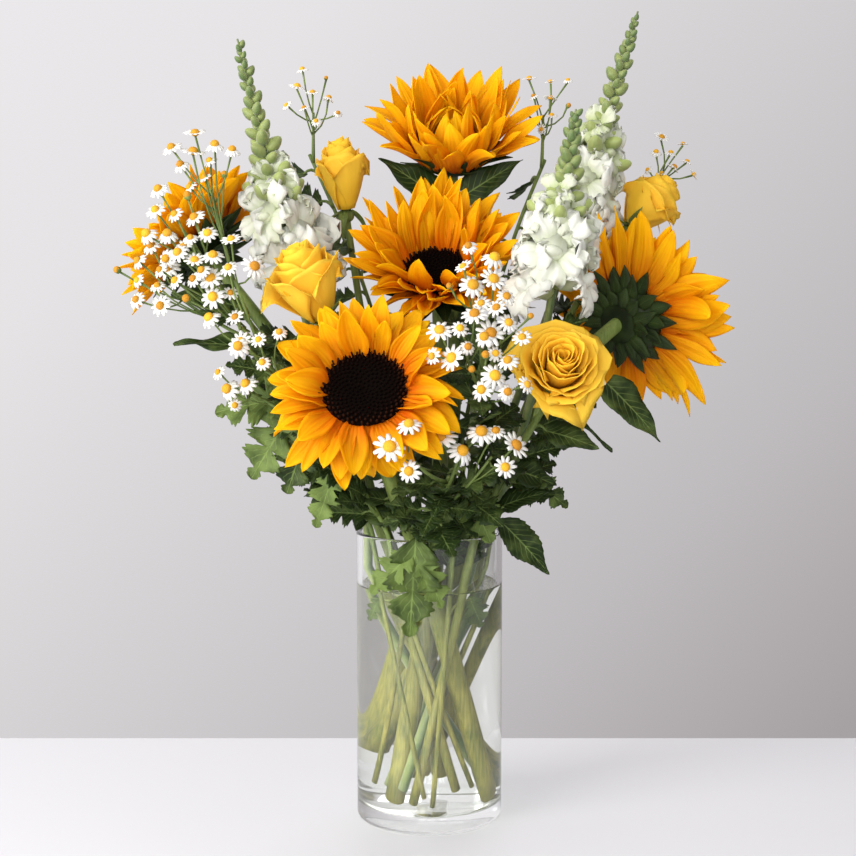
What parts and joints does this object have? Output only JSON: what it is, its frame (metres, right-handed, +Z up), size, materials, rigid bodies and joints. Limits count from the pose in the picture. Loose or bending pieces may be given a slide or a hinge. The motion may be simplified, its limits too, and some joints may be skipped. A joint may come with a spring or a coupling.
{
  "type": "sunflowers in a vase",
  "caption": "Clear cylinder vase of water with a mixed bouquet: sunflowers, yellow roses, white snapdragon spikes, daisy-like feverfew sprays and green leaves.",
  "frame": {"origin": "centre of the vase's flat underside, on the surface it stands on", "axes": "+Z up the vase; +Y away from the side that the bouquet faces; +X to the right seen from that side"},
  "size_m": [0.4261, 0.2484, 0.5532],
  "materials": {
    "vase_glass": "clear polished glass, 3.5 mm wall, thick base",
    "water": "clear water with a faint green tint",
    "sunflower_green": "soft matte green plant tissue, slightly hairy",
    "sunflower_petal": "thin matte golden-yellow ray petals, deeper orange at the base",
    "sunflower_disc": "dark brown disc of small florets",
    "rose_green": "satin green stems, sepals and toothed leaves",
    "rose_petal": "soft satin yellow petals, paler outside",
    "snapdragon": "white ruffled florets with pale green buds and stems",
    "feverfew": "thin green branches with small white-rayed yellow daisy heads"
  },
  "bodies": {
    "root": {"vase": "vase_glass", "water": "water", "sunflower_top_stem": "sunflower_green", "sunflower_top_petals": "sunflower_petal", "sunflower_top_disc": "sunflower_disc", "sunflower_centre_stem": "sunflower_green", "sunflower_centre_petals": "sunflower_petal", "sunflower_centre_disc": "sunflower_disc", "sunflower_front_stem": "sunflower_green", "sunflower_front_petals": "sunflower_petal", "sunflower_front_disc": "sunflower_disc", "sunflower_right_stem": "sunflower_green", "sunflower_right_petals": "sunflower_petal", "sunflower_right_disc": "sunflower_disc", "sunflower_left_stem": "sunflower_green", "sunflower_left_petals": "sunflower_petal", "sunflower_left_disc": "sunflower_disc", "rose_upper_stem": "rose_green", "rose_upper_bloom": "rose_petal", "rose_left_stem": "rose_green", "rose_left_bloom": "rose_petal", "rose_front_stem": "rose_green", "rose_front_bloom": "rose_petal", "rose_right_stem": "rose_green", "rose_right_bloom": "rose_petal", "snapdragon_left": "snapdragon", "snapdragon_right": "snapdragon", "snapdragon_front": "snapdragon", "spray_left_outer": "feverfew", "spray_left_inner": "feverfew", "spray_centre_upper": "feverfew", "spray_centre_lower": "feverfew", "spray_back_left": "feverfew", "spray_back_centre": "feverfew", "spray_back_right": "feverfew"}
  },
  "joints": []
}
